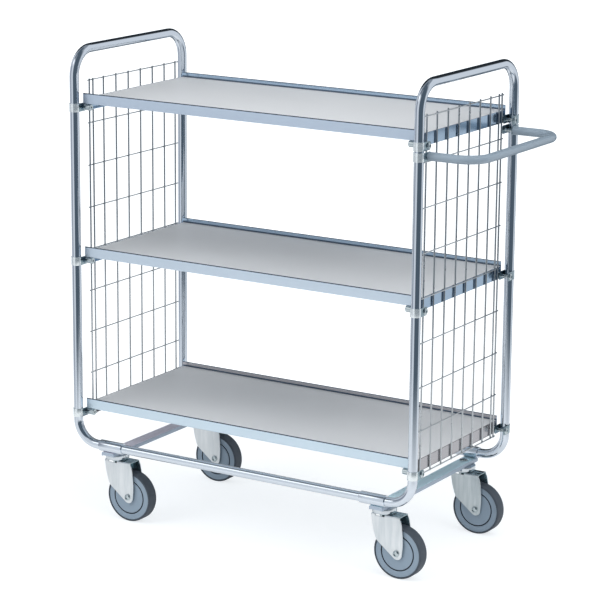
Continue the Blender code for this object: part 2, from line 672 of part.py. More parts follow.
def fork_shape():
    """A pressed fork: a crown plate with two legs that run back and down to the axle.

    The kingpin's axis is at X zero and the axle's height at Z zero.
    """
    half, sheet, top = FORK_WIDTH / 2, FORK_SHEET, FORK_HEIGHT
    tip = Vector((CASTER_TRAIL + FORK_TIP_BEHIND_AXLE, -FORK_TIP_BELOW_AXLE))
    tail_top = Vector((FORK_TAIL, top))
    nose_top = Vector((-FORK_NOSE, top))
    tip_rear = tip + Vector((FORK_TIP_RADIUS, 0))
    knee = Vector((-FORK_KNEE_FORWARD, FORK_KNEE_HEIGHT))
    to_knee = knee - tip
    tangent = atan2(to_knee.y, to_knee.x) + acos(FORK_TIP_RADIUS / to_knee.length) - 2 * pi
    tip_arc = [tip + Vector(point) for point in arc(FORK_TIP_RADIUS, 0, tangent, FORK_ARC_STEPS)]
    above = Vector((0, OVERRUN))
    outline = [
        tail_top + above, tail_top, *bulged(tail_top, tip_rear, FORK_TAIL_BULGE, FORK_ARC_STEPS),
        *tip_arc, knee, *bulged(knee, nose_top, FORK_NOSE_BULGE, FORK_ARC_STEPS),
        nose_top, nose_top + above,
    ]
    side_view = moved(plate(FORK_WIDTH + 2 * OVERRUN, outline), Y_TO_Z)
    foot = tip.y - FORK_TIP_RADIUS - OVERRUN
    length = 2 * (FORK_NOSE + FORK_TAIL + FORK_TIP_RADIUS)
    section = filleted([
        (-half, foot, 0, 0), (-half, top, 0, FORK_CORNER), (half, top, 0, FORK_CORNER), (half, foot, 0, 0),
        (half - sheet, foot, 0, 0), (half - sheet, top - sheet, 0, FORK_CORNER - sheet),
        (sheet - half, top - sheet, 0, FORK_CORNER - sheet), (sheet - half, foot, 0, 0),
    ], CORNER_STEPS, closed=True)
    folded = moved(plate(2 * length, section), TO_YZ)
    kingpin_hole = rods(KINGPIN_DIAMETER / 2 + PIN_FIT, BOLT_STEPS, ((0, 0, 0), (0, 0, top + OVERRUN)))
    axle_hole = rods(AXLE_DIAMETER / 2 + CONTACT_GAP, BOLT_STEPS,
                     ((CASTER_TRAIL, -FORK_WIDTH, 0), (CASTER_TRAIL, FORK_WIDTH, 0)))
    slot_half = FORK_SLOT_LENGTH / 2
    slots = boxes(
        ((-slot_half, -FORK_WIDTH, top - FORK_SLOT_HEIGHT), (slot_half, FORK_CORNER - half, top + OVERRUN)),
        ((-slot_half, half - FORK_CORNER, top - FORK_SLOT_HEIGHT), (slot_half, FORK_WIDTH, top + OVERRUN)),
    )
    return combined(folded, ("INTERSECT", side_view), ("DIFFERENCE", kingpin_hole),
                    ("DIFFERENCE", axle_hole), ("DIFFERENCE", slots))


def wheel_shapes():
    """Core and tyre, turned about Y. The tyre stands on one of its flats."""
    face = CORE_WIDTH / 2
    clear = FORK_WIDTH / 2 - FORK_SHEET
    hub_half = clear - HUB_GAP
    rim = WHEEL_RADIUS - TYRE_DEPTH - CONTACT_GAP
    hub, bore = HUB_DIAMETER / 2, opened(AXLE_DIAMETER / 2 + PIN_FIT, WHEEL_STEPS)
    upper = [(bore, hub_half), (hub, hub_half), (hub, face), (rim, face)]
    lower = [(radius, -height) for radius, height in reversed(upper)]
    core = turned(upper + lower, WHEEL_STEPS, ring=True)
    outer = opened(WHEEL_RADIUS, WHEEL_STEPS)
    shoulder = min(TYRE_SHOULDER, TYRE_DEPTH)
    edge = WHEEL_WIDTH / 2
    bend = [
        (outer - shoulder + x, edge - shoulder + y) for x, y in arc(shoulder, pi / 2, 0, CORNER_STEPS)
    ]
    inner = WHEEL_RADIUS - TYRE_DEPTH
    tyre_side = [(inner, edge)] + bend
    other_side = [(radius, -height) for radius, height in reversed(tyre_side)]
    tyre = turned(tyre_side + other_side, WHEEL_STEPS, ring=True)
    stand_on_flat = Z_TO_Y @ Matrix.Rotation(pi / WHEEL_STEPS, 4, "Z")
    return {
        "wheel_core": (moved(core, stand_on_flat), WHEEL_PLASTIC),
        "tyre": (moved(tyre, stand_on_flat), RUBBER),
    }


def casters():
    """Four swivel casters. The cup and kingpin stay with the trolley, the fork turns about the kingpin."""
    fork = fork_shape()
    wheel = wheel_shapes()
    pin_bore = opened(KINGPIN_DIAMETER / 2 + PIN_FIT, RING_STEPS)
    cup_radius, cup_z = CUP_DIAMETER / 2, RACE_HEIGHT
    flat, curve = cup_radius - CUP_EDGE, arc(CUP_EDGE, 0, -pi / 2, CORNER_STEPS)
    cup_edge = [(flat + x, cup_z + CUP_EDGE + y) for x, y in curve]
    cup_top, collar = cup_z + CUP_HEIGHT, COLLAR_DIAMETER / 2
    collar_top = CHANNEL_TOP - CHANNEL_SHEET - CONTACT_GAP - RACE_BOTTOM
    cup = turned([
        (collar, collar_top), (collar, cup_top), (cup_radius, cup_top), *cup_edge,
        (RACE_DIAMETER / 2, cup_z), (RACE_DIAMETER / 2, 0), (pin_bore, 0), (pin_bore, collar_top),
    ], RING_STEPS, ring=True)
    pin_z = CHANNEL_TOP + CONTACT_GAP
    nut_seat = pin_z - CROWN_TOP + FORK_SHEET + CONTACT_GAP
    kingpin = pin(KINGPIN_DIAMETER, nut_seat + KINGPIN_NUT_HEIGHT + KINGPIN_STUB, KINGPIN_HEAD_DIAMETER,
                  KINGPIN_HEAD_HEIGHT, KINGPIN_NUT_ACROSS, KINGPIN_NUT_HEIGHT, nut_seat)
    axle_seat = FORK_WIDTH / 2 + CONTACT_GAP
    axle = pin(AXLE_DIAMETER, 2 * axle_seat + AXLE_NUT_HEIGHT + AXLE_STUB, AXLE_HEAD_DIAMETER,
               AXLE_HEAD_HEIGHT, AXLE_NUT_ACROSS, AXLE_NUT_HEIGHT, 2 * axle_seat)
    moved(axle, Matrix.Translation((0, -axle_seat, 0)) @ Y_TO_Z)
    for corner, (end, side) in CORNERS.items():
        x, y = end * CASTER_X, side * CASTER_Y
        piece(f"{corner}_swivel_cup", cup, ZINC, (x, y, RACE_BOTTOM))
        piece(f"{corner}_kingpin", kingpin, BOLT_ZINC, (x, y, pin_z))
        swivel = empty(f"{corner}_swivel", (x, y, WHEEL_RADIUS), TROLLEY)
        piece(f"{corner}_fork", fork, FORK_ZINC, parent=swivel)
        axis = empty(f"{corner}_axis", (CASTER_TRAIL, 0, 0), swivel)
        piece(f"{corner}_axle_bolt", axle, BOLT_ZINC, parent=axis)
        for name, (mesh, material) in wheel.items():
            piece(f"{corner}_{name}", mesh, material, parent=axis)


end_hoops()
side_rails()
rail_sleeves()
cross_members()
shelves()
mesh_panels()
shelf_clamps()
push_handle()
casters()
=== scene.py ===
"""Shelf trolley: the looks of its pieces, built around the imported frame. Lengths are in metres."""
from math import acos, atan2, cos, pi, radians, sin

import bmesh
import bpy
from mathutils import Matrix, Vector


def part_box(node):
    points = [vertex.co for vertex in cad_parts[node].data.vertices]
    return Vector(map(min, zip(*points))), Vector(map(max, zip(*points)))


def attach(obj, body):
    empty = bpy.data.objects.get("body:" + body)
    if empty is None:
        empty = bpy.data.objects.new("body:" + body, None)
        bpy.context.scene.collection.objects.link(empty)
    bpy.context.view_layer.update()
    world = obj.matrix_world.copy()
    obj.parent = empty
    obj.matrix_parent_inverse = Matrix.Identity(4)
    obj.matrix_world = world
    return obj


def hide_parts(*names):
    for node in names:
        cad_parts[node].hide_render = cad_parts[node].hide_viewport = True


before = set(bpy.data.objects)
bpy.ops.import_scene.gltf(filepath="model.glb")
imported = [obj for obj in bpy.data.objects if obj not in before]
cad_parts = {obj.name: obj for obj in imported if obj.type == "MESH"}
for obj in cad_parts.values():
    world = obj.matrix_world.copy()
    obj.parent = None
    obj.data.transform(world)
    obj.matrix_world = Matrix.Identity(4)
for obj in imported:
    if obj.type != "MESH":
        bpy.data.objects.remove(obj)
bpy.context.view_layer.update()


# End hoops
# Each end is one steel tube, bent at the two crown corners and again at the two feet,
# ground smooth and chromed. Its lower ends push into the sleeves.
board_low, board_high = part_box("shelf_board_top")
rail_low, rail_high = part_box("side_rail_front")
middle_x = (board_low.x + board_high.x) / 2
rail_z = (rail_low.z + rail_high.z) / 2
post_y = -(rail_low.y + rail_high.y) / 2
tube_radius = (rail_high.y - rail_low.y) / 2
tube_wall = 0.0015
ends = {"left": -1, "right": 1}
post_x = 0.4725
hoop_height = 0.96946
foot_bend = 0.058
crown_bend = 0.063
sleeve_end = 0.4045
sleeve_length = 0.0675
inner_end = sleeve_end - sleeve_length / 2
round_steps = 28
bend_steps = 12
fold_angle = radians(30)


def node(tree, kind, **inputs):
    """A shader node with some of its sockets set."""
    made = tree.nodes.new(f"ShaderNode{kind}")
    for name, value in inputs.items():
        made.inputs[name.replace("_", " ")].default_value = value
    return made


def surface(name, colour, metallic, roughness):
    """A material with a Principled shader, and the place on the piece that its patterns read."""
    material = bpy.data.materials.new(name)
    material.use_nodes = True
    tree = material.node_tree
    shader = tree.nodes["Principled BSDF"]
    shader.inputs["Base Color"].default_value = (*colour, 1)
    shader.inputs["Metallic"].default_value = metallic
    shader.inputs["Roughness"].default_value = roughness
    place = tree.nodes.new("ShaderNodeTexCoord").outputs["Object"]
    return material, tree, shader, place


def patches(tree, place, scale, detail, low=0.0, high=1.0):
    """A soft noise whose grey runs from low to high."""
    noise = node(tree, "TexNoise", Scale=scale, Detail=detail)
    tree.links.new(place, noise.inputs["Vector"])
    span = node(tree, "MapRange", To_Min=low, To_Max=high)
    tree.links.new(noise.outputs["Fac"], span.inputs["Value"])
    return span.outputs["Result"]


def glossed(tree, shader, share):
    """Lets the roughness follow a pattern."""
    tree.links.new(share, shader.inputs["Roughness"])


def bumped(tree, shader, height, strength, distance):
    """Lifts the surface by a pattern."""
    bump = node(tree, "Bump", Strength=strength, Distance=distance)
    tree.links.new(height, bump.inputs["Height"])
    tree.links.new(bump.outputs["Normal"], shader.inputs["Normal"])


def chrome_plate():
    """Bright chrome, a little blue, with faint polishing haze and a barely wavy ground surface."""
    material, tree, shader, place = surface("chrome_plate", (0.72, 0.78, 0.85), metallic=1, roughness=0.08)
    glossed(tree, shader, patches(tree, place, scale=35.0, detail=4.0, low=0.05, high=0.13))
    bumped(tree, shader, patches(tree, place, scale=90.0, detail=2.0), strength=0.03, distance=0.0003)
    return material


def edges_at(verts):
    """The edges that meet at some vertices, each one once."""
    return list(dict.fromkeys(edge for vert in verts for edge in vert.link_edges))


def drawn_out(bm, edges, step):
    """Draws edges out by a step. Gives the far edges."""
    made = bmesh.ops.extrude_edge_only(bm, edges=edges)["geom"]
    verts = [item for item in made if isinstance(item, bmesh.types.BMVert)]
    bmesh.ops.translate(bm, verts=verts, vec=step)
    far = set(verts)
    return [item for item in made if isinstance(item, bmesh.types.BMEdge) and set(item.verts) <= far]


def quarter_turn(bm, edges, centre, axis, steps):
    """Sweeps edges a quarter turn about an axis. Gives the far edges."""
    swept = bmesh.ops.spin(
        bm, geom=edges, cent=centre, axis=axis, dvec=(0, 0, 0), angle=pi / 2, steps=steps,
        use_duplicate=False,
    )
    return [item for item in swept["geom_last"] if isinstance(item, bmesh.types.BMEdge)]


def skin(bm, corner_points, bends, radius):
    """An open round skin along straight runs and square bends. Gives its first and last ring of edges."""
    points = [Vector(point) for point in corner_points]
    heading = (points[1] - points[0]).normalized()
    turn = heading.to_track_quat("Z", "Y").to_matrix().to_4x4()
    circle = bmesh.ops.create_circle(
        bm, cap_ends=False, radius=radius, segments=round_steps, matrix=Matrix.Translation(points[0]) @ turn,
    )
    first = edges_at(circle["verts"])
    ring, here = first, points[0]
    for corner, following, bend in zip(points[1:-1], points[2:], bends):
        onward = (following - corner).normalized()
        start = corner - heading * bend
        ring = drawn_out(bm, ring, start - here)
        ring = quarter_turn(bm, ring, start + onward * bend, heading.cross(onward), bend_steps)
        here, heading = corner + onward * bend, onward
    return first, drawn_out(bm, ring, points[-1] - here)


def tube(bm, corner_points, bends, radius, wall):
    """A hollow round tube with square cut ends."""
    outer = skin(bm, corner_points, bends, radius)
    inner = skin(bm, corner_points, bends, radius - wall)
    for outer_ring, inner_ring in zip(outer, inner):
        bmesh.ops.bridge_loops(bm, edges=outer_ring + inner_ring)
    bmesh.ops.recalc_face_normals(bm, faces=bm.faces)


def finished(name, bm, materials, body, slot, *nodes):
    """Makes a piece of a bmesh, smooth with sharp folds, that rides on its body in place of its CAD nodes."""
    mesh = bpy.data.meshes.new(name)
    bm.to_mesh(mesh)
    bm.free()
    mesh.shade_smooth()
    mesh.set_sharp_from_angle(angle=fold_angle)
    for material in materials:
        mesh.materials.append(material)
    piece = bpy.data.objects.new(name, mesh)
    bpy.context.scene.collection.objects.link(piece)
    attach(piece, body)
    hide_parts(*nodes)
    return piece


chrome = chrome_plate()
crossbar_z = rail_z + hoop_height
for end, sign in ends.items():
    x_in, x_out = middle_x + sign * inner_end, middle_x + sign * post_x
    bm = bmesh.new()
    tube(bm, [
        (x_in, -post_y, rail_z), (x_out, -post_y, rail_z), (x_out, -post_y, crossbar_z),
        (x_out, post_y, crossbar_z), (x_out, post_y, rail_z), (x_in, post_y, rail_z),
    ], [foot_bend, crown_bend, crown_bend, foot_bend], tube_radius, tube_wall)
    finished(f"bent_hoop_{end}", bm, [chrome], "trolley_frame", "chrome_plate", f"end_hoop_{end}")


# Side rails
# Two straight tubes of the same chromed steel, one at the front and one at the rear. They are cut
# square and pushed into the sleeves, where they meet the hoops' ends.
sides = {"front": -1, "rear": 1}

for side, sign in sides.items():
    bm = bmesh.new()
    tube(bm, [
        (middle_x - inner_end, sign * post_y, rail_z), (middle_x + inner_end, sign * post_y, rail_z),
    ], [], tube_radius, tube_wall)
    finished(f"lower_rail_{side}", bm, [chrome], "trolley_frame", "chrome_plate", f"side_rail_{side}")


# Rail sleeves
# Short lengths of the next tube size up, chromed, that join the side rails to the hoops. The edges
# of their outer rims are broken.
corners = {f"{side}_{end}": (ends[end], sides[side]) for side in sides for end in ends}
sleeve_radius = 0.014
sleeve_edge = 0.0009
weld_distance = 1e-6


def arc(radius, start, end, steps):
    """Points on an arc about zero, both ends included."""
    angles = [start + (end - start) * step / steps for step in range(steps + 1)]
    return [(radius * cos(angle), radius * sin(angle)) for angle in angles]


def both_ways(profile):
    """A half profile and its mirror image about zero."""
    return profile + [(radius, -along) for radius, along in reversed(profile)]


def turned(bm, profile, origin, axis, steps, closed=False):
    """A body turned about an axis through its origin, from (radius, distance along the axis) points."""
    origin, axis = Vector(origin), Vector(axis)
    outwards = axis.orthogonal().normalized()
    verts = [bm.verts.new(origin + axis * along + outwards * radius) for radius, along in profile]
    pairs = list(zip(verts, verts[1:])) + ([(verts[-1], verts[0])] if closed else [])
    edges = [bm.edges.new(pair) for pair in pairs]
    bmesh.ops.spin(
        bm, geom=verts + edges, cent=origin, axis=axis, dvec=(0, 0, 0), angle=2 * pi, steps=steps,
        use_merge=True,
    )
    bmesh.ops.remove_doubles(bm, verts=bm.verts, dist=weld_distance)
    bmesh.ops.recalc_face_normals(bm, faces=bm.faces)


half_sleeve = sleeve_length / 2
rim_round = [
    (sleeve_radius - sleeve_edge + x, half_sleeve - sleeve_edge + y)
    for x, y in arc(sleeve_edge, pi / 2, 0, steps=4)
]
sleeve_profile = both_ways([(tube_radius, half_sleeve)] + rim_round)
for corner, (end, side) in corners.items():
    sleeve_middle = (middle_x + end * (sleeve_end - half_sleeve), side * post_y, rail_z)
    bm = bmesh.new()
    turned(bm, sleeve_profile, sleeve_middle, (1, 0, 0), steps=32, closed=True)
    finished(f"sleeve_{corner}", bm, [chrome], "trolley_frame", "chrome_plate", f"rail_sleeve_{corner}")


# Cross members
# Shallow channels folded from zinc plated sheet, legs down, that lie under the sleeves and carry
# the casters. Their ends are closed, and their upper faces carry painted light, lilac on the left
# and blue on the right.
channel_edge = 0.0003
same_point = 1e-5
facing_up = 0.9
cloud_dark = 0.93
cloud_light = 1.05
painted_bar_tops = {
    "left": ("bar_top_painted_lilac_light", (0.80, 0.77, 0.87)),
    "right": ("bar_top_painted_blue_light", (0.66, 0.88, 0.99)),
}


def tinted(tree, shader, share, dark, light):
    """Colours the surface between two tones."""
    ramp = tree.nodes.new("ShaderNodeValToRGB")
    ramp.color_ramp.elements[0].color = (*dark, 1)
    ramp.color_ramp.elements[1].color = (*light, 1)
    tree.links.new(share, ramp.inputs["Fac"])
    tree.links.new(ramp.outputs["Color"], shader.inputs["Base Color"])


def zinc_plate(name, colour, smooth, rough, spangle, metal=1.0):
    """Zinc plated steel: a soft blue metal with cloudy patches and a faint rolled grain."""
    material, tree, shader, place = surface(name, colour, metallic=metal, roughness=rough)
    glossed(tree, shader, patches(tree, place, scale=spangle, detail=5.0, low=smooth, high=rough))
    dark = tuple(tone * cloud_dark for tone in colour)
    light = tuple(min(1.0, tone * cloud_light) for tone in colour)
    tinted(tree, shader, patches(tree, place, scale=spangle / 2, detail=6.0, low=0.2, high=0.8), dark, light)
    bumped(tree, shader, patches(tree, place, scale=spangle * 5, detail=3.0), strength=0.04, distance=0.0003)
    return material


def rounded(bm, edges, radius, segments=4):
    """Rounds some edges."""
    bmesh.ops.bevel(
        bm, geom=edges, offset=radius, offset_type="OFFSET", segments=segments, profile=0.5,
        affect="EDGES", material=-1, clamp_overlap=True,
    )


def sharp_edges(bm, degrees):
    """The edges where two faces meet at more than this angle."""
    return [
        edge for edge in bm.edges
        if len(edge.link_faces) == 2 and edge.calc_face_angle() > radians(degrees)
    ]


def folded_channel(bm, cad_node):
    """The cross member's own solid, its loose triangles merged into flat faces and its edges broken."""
    bm.from_mesh(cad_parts[cad_node].data)
    bmesh.ops.remove_doubles(bm, verts=bm.verts, dist=same_point)
    bmesh.ops.dissolve_limit(bm, angle_limit=radians(1), verts=bm.verts, edges=bm.edges)
    rounded(bm, sharp_edges(bm, degrees=40), channel_edge, segments=2)


def painted_top_faces(piece):
    """Gives the piece's second material, painted light on the cross members and painted shade on the fork
    crowns, to its faces that look up.
    """
    for polygon in piece.data.polygons:
        polygon.material_index = 1 if polygon.normal.z > facing_up else 0


bar_zinc = zinc_plate("bar_zinc", (0.47, 0.55, 0.65), smooth=0.36, rough=0.48, spangle=18.0, metal=0.35)
for end in ends:
    # Each end's upper faces get their own painted light tone.
    bar_top = zinc_plate(*painted_bar_tops[end], smooth=0.36, rough=0.48, spangle=18.0, metal=0.1)
    bm = bmesh.new()
    folded_channel(bm, f"cross_member_{end}")
    painted_top_faces(finished(
        f"channel_{end}", bm, [bar_zinc, bar_top], "trolley_frame", "zinc_plate", f"cross_member_{end}",
    ))


# Shelf frames
# Trays of folded zinc plated sheet. The front and rear rails are hemmed along the top and have
# the ledge that carries the board. The deeper end rails have a flange at their foot, and round
# lobes that the clamp bolts pass.
levels = {level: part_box(f"shelf_frame_{level}")[1].z for level in ("bottom", "middle", "top")}
shelf_end = 0.45935
shelf_side = 0.2106
sheet = 0.0015
rail_height = 0.026
rail_ledge = 0.018
hem_width = 0.0030
hem_height = 0.0080
hem_rounding = 0.46 * hem_width
hem_strip = 0.0021
fold_radius = 0.0022
board_drop = 0.0122
plate_inset = 0.0002
end_flange = 0.012
flange_gap = 0.0006
lobe_radius = 0.0075
lobe_z = -0.0338
bolt_y = 0.2076
# The rails' tone at each level is painted light: lighter on the lower trays, darker on the top one.
painted_light_by_level = {"bottom": (0.67, 0.80, 0.895), "middle": (0.64, 0.74, 0.84), "top": (0.555, 0.65, 0.77)}


def extruded(bm, outline, step):
    """A straight length of a closed outline. Gives the long edges, one for each outline point, in order."""
    verts = [bm.verts.new(point) for point in outline]
    grown = bmesh.ops.extrude_face_region(bm, geom=[bm.faces.new(verts)])["geom"]
    moved = [item for item in grown if isinstance(item, bmesh.types.BMVert)]
    bmesh.ops.translate(bm, verts=moved, vec=step)
    long_edges = [edge for vert in verts for edge in vert.link_edges if edge.other_vert(vert) in moved]
    faces = dict.fromkeys(face for vert in verts + moved for face in vert.link_faces)
    bmesh.ops.recalc_face_normals(bm, faces=list(faces))
    return long_edges


def side_rail(bm, side, top):
    """A folded angle with a hem along its top edge, at the front (-1) or the rear (1)."""
    def across(depth, height):
        return (middle_x - shelf_end, side * (shelf_side - depth), top + height)

    long_edges = extruded(bm, [
        across(0, 0), across(0, -hem_strip), across(0, -rail_height), across(rail_ledge, -rail_height),
        across(rail_ledge, sheet - rail_height), across(sheet, sheet - rail_height),
        across(sheet, -hem_height), across(hem_width, -hem_height), across(hem_width, 0),
    ], (2 * shelf_end, 0, 0))
    rounded(bm, [long_edges[0], long_edges[-1]], hem_rounding)
    rounded(bm, [long_edges[2]], fold_radius)


def end_rail(bm, end, top):
    """An end plate with its two lobes, and the flange at its foot, on the left (-1) or the right (1)."""
    start = middle_x + end * (shelf_end - plate_inset) - (sheet if end > 0 else 0)
    meets_side = acos((shelf_side - bolt_y) / lobe_radius)
    lobe = [(bolt_y + y, lobe_z + z) for y, z in arc(lobe_radius, -pi / 2, meets_side, steps=14)]
    half = lobe + [(shelf_side - sheet, -rail_height), (shelf_side - sheet, -board_drop)]
    outline = half + [(-y, z) for y, z in reversed(half)]
    extruded(bm, [(start, y, top + z) for y, z in outline], (sheet, 0, 0))
    low, reach = lobe_z - lobe_radius, bolt_y - lobe_radius - flange_gap
    near_x, far_x = sorted(middle_x + end * (shelf_end - depth) for depth in (sheet, end_flange))
    extruded(bm, [
        (near_x, y, top + z)
        for y, z in ((-reach, low), (reach, low), (reach, low + sheet), (-reach, low + sheet))
    ], (far_x - near_x, 0, 0))


def lies(face, depth):
    """Whether a face lies upright at this depth behind the outside of a side rail."""
    return all(abs(abs(vert.co.y) - shelf_side + depth) < same_point for vert in face.verts)


def tone_tray(bm, top):
    """The second metal, a painted shade, on the end rails and the hems' inner faces; the third, a darker
    painted shade, on the edge and the recess.
    """
    for face in bm.faces:
        reach = [abs(vert.co.x - middle_x) for vert in face.verts]
        if shelf_end - end_flange - same_point < min(reach) and max(reach) < shelf_end - same_point:
            face.material_index = 1
        elif face.calc_center_median().z > top - hem_strip or lies(face, sheet):
            face.material_index = 2
        elif lies(face, hem_width):
            face.material_index = 1


# Painted shade on the trays: a dark line along the top edge and in the recess inside the hem, and darker end
# rails, blue above and grey on the bottom tray.
hem_painted_shade = zinc_plate("hem_painted_shade_zinc", (0.12, 0.16, 0.22), smooth=0.20, rough=0.30, spangle=24.0)
painted_shade_blue = zinc_plate("painted_shade_blue_zinc", (0.42, 0.55, 0.69), smooth=0.12, rough=0.22, spangle=24.0)
painted_shade_grey = zinc_plate("painted_shade_grey_zinc", (0.50, 0.49, 0.51), smooth=0.14, rough=0.26, spangle=24.0)
for level, top in levels.items():
    rail_painted_light_zinc = zinc_plate(
        f"{level}_rail_painted_light_zinc", painted_light_by_level[level], smooth=0.28, rough=0.40, spangle=18.0, metal=0.5,
    )
    end_painted_shade = painted_shade_grey if level == "bottom" else painted_shade_blue
    bm = bmesh.new()
    for side in sides.values():
        side_rail(bm, side, top)
    for end in ends.values():
        end_rail(bm, end, top)
    tone_tray(bm, top)
    finished(
        f"tray_{level}", bm, [rail_painted_light_zinc, end_painted_shade, hem_painted_shade], "trolley_frame", "zinc_plate",
        f"shelf_frame_{level}",
    )


# Shelf boards
# Chipboard with a pale grey laminate, sawn to size with its edges just broken. Each board drops
# into its tray and rests on the side rails' ledges.
board_edge = 0.0005


def laminate():
    """A satin laminate with a fine fleck and a faint orange peel."""
    material, tree, shader, place = surface("grey_laminate", (0.68, 0.69, 0.71), metallic=0, roughness=0.42)
    fleck = patches(tree, place, scale=420.0, detail=3.0, low=0.2, high=0.8)
    tinted(tree, shader, fleck, (0.665, 0.68, 0.695), (0.71, 0.72, 0.735))
    glossed(tree, shader, patches(tree, place, scale=9.0, detail=4.0, low=0.36, high=0.50))
    bumped(tree, shader, patches(tree, place, scale=700.0, detail=2.0), strength=0.12, distance=0.0002)
    shader.inputs["Specular IOR Level"].default_value = 0.4
    return material


pale_board = laminate()
for level in levels:
    low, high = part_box(f"shelf_board_{level}")
    bm = bmesh.new()
    size = Matrix.Diagonal(high - low).to_4x4()
    bmesh.ops.create_cube(bm, size=1, matrix=Matrix.Translation((low + high) / 2) @ size)
    rounded(bm, bm.edges[:], board_edge, segments=3)
    finished(f"board_{level}", bm, [pale_board], "trolley_frame", "grey_laminate", f"shelf_board_{level}")


# Mesh panels
# Upright and cross wires, butt cut, spot welded where they cross and then zinc plated. At one side
# two uprights stand close together.
upright_diameter = 0.0042
lateral_diameter = 0.0030
weld_depth = 0.0006
wire_gaps = [0.0145, 0.0427] + 5 * [0.0513] + [0.0479]
pair_from_side = {"left": 0.0287, "right": 0.0236}
pair_tip = 0.0028
far_tip = 0.0163
upright_tip = 0.004
mesh_rows = 9
wire_edge = 0.0004


def wire(bm, start, end, diameter):
    """A straight wire with its cut ends broken."""
    start, end = Vector(start), Vector(end)
    run = end - start
    turn = run.to_track_quat("Z", "Y").to_matrix().to_4x4()
    made = bmesh.ops.create_cone(
        bm, cap_ends=True, cap_tris=False, segments=12, radius1=diameter / 2, radius2=diameter / 2,
        depth=run.length, matrix=Matrix.Translation((start + end) / 2) @ turn,
    )
    rims = [edge for edge in edges_at(made["verts"]) if edge.calc_length() < diameter]
    rounded(bm, rims, wire_edge, segments=2)


wire_zinc = zinc_plate("wire_zinc", (0.56, 0.59, 0.61), smooth=0.22, rough=0.36, spangle=60.0)
for end, sign in ends.items():
    low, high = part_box(f"mesh_panel_{end}")
    inner = low.x if sign > 0 else high.x
    upright_x = inner + sign * upright_diameter / 2
    lateral_x = inner + sign * (upright_diameter + lateral_diameter / 2 - weld_depth)
    pair_y = sign * (shelf_side - pair_from_side[end])
    wire_ys = [pair_y - sign * sum(wire_gaps[:count]) for count in range(len(wire_gaps) + 1)]
    near_y, far_y = wire_ys[0] + sign * pair_tip, wire_ys[-1] - sign * far_tip
    row_low, row_high = low.z + upright_tip, high.z - upright_tip
    bm = bmesh.new()
    for y in wire_ys:
        wire(bm, (upright_x, y, low.z), (upright_x, y, high.z), upright_diameter)
    for row in range(mesh_rows):
        z = row_low + (row_high - row_low) * row / (mesh_rows - 1)
        wire(bm, (lateral_x, near_y, z), (lateral_x, far_y, z), lateral_diameter)
    finished(f"wire_mesh_{end}", bm, [wire_zinc], "trolley_frame", "wire_zinc", f"mesh_panel_{end}")


# Post clamps
# A strap bent round the post, drawn tight by a round-headed bolt through its two ears. The bolt
# passes the shelf's end rail into a round sleeve nut. All zinc plated.
clamp_sheet = 0.0013
clamp_fit = 0.0003
clamp_height = 0.0205
clamp_reach = 0.030
clamp_tip = 0.006
clamp_edge = 0.0003
ear_start = 0.002
ear_x = tube_radius + clamp_fit + clamp_sheet
bolt_from_post = 0.0197
bolt_radius = 0.004
bolt_steps = 24
head_radius = 0.00825
head_height = 0.0046
head_shoulder = 0.28
head_socket = 0.0030
socket_depth = 0.0026
nut_radius = 0.0075
nut_length = 0.0205
nut_edge = 0.0007
nut_socket = 0.0024
nut_socket_depth = 0.003


def strap(bm, reach):
    """The bent strap about the origin, with its ears towards -Y and their tips rounded."""
    bore, half = tube_radius + clamp_fit, clamp_height / 2
    outline = [
        (ear_x, -reach), *arc(ear_x, 0, pi, steps=24), (-ear_x, -reach),
        (-bore, -reach), *arc(bore, pi, 0, steps=24), (bore, -reach),
    ]
    extruded(bm, [(x, y, -half) for x, y in outline], (0, 0, clamp_height))
    tips = [
        edge for edge in bm.edges
        if all(abs(vert.co.y + reach) < weld_distance for vert in edge.verts)
        and abs(edge.verts[0].co.z - edge.verts[1].co.z) < weld_distance
    ]
    rounded(bm, tips, clamp_tip, segments=8)
    rounded(bm, sharp_edges(bm, degrees=60), clamp_edge, segments=2)
    # The band round the post takes a pale painted highlight, the ears a dark painted shade.
    for face in bm.faces:
        face.material_index = 1 if face.calc_center_median().y > -ear_start else 2


def bolt_head(radius, height, socket, depth):
    """Profile points of a low round head with a socket, from its middle out to its seat at zero."""
    shoulder = height * head_shoulder
    crown = [
        (x, shoulder + y * (height - shoulder) / radius)
        for x, y in arc(radius, acos(socket / radius), 0, steps=10)
    ]
    return [(0, crown[0][1] - depth), (socket, crown[0][1] - depth)] + crown + [(radius, 0)]


def clamp_body(bm, way, reach, from_post, shank):
    """A strap and its bolt, whose head is outside the ear at +X, or at -X where way is -1."""
    strap(bm, reach)
    head = bolt_head(head_radius, head_height - clamp_fit, head_socket, socket_depth)
    turned(bm, head + shank, (way * ear_x, -from_post, 0), (way, 0, 0), bolt_steps)


def set_down(bm, place, half_turn):
    """Moves a shape from the origin to its place, turned half round if it faces the other way."""
    turn = Matrix.Rotation(pi if half_turn else 0, 4, "Z")
    bmesh.ops.transform(bm, matrix=Matrix.Translation(place) @ turn, verts=bm.verts)


bolt_zinc = zinc_plate("bolt_zinc", (0.56, 0.63, 0.65), smooth=0.12, rough=0.24, spangle=90.0)
# The strap's pale band and dark ears are lit and shaded copies of one zinc: painted light and shade.
strap_painted_light_zinc = zinc_plate("strap_painted_light_zinc", (0.90, 0.96, 0.99), smooth=0.18, rough=0.30, spangle=90.0, metal=0.75)
ear_painted_shade_zinc = zinc_plate("ear_painted_shade_zinc", (0.32, 0.41, 0.45), smooth=0.16, rough=0.28, spangle=90.0)
clamp_metals = [bolt_zinc, strap_painted_light_zinc, ear_painted_shade_zinc]

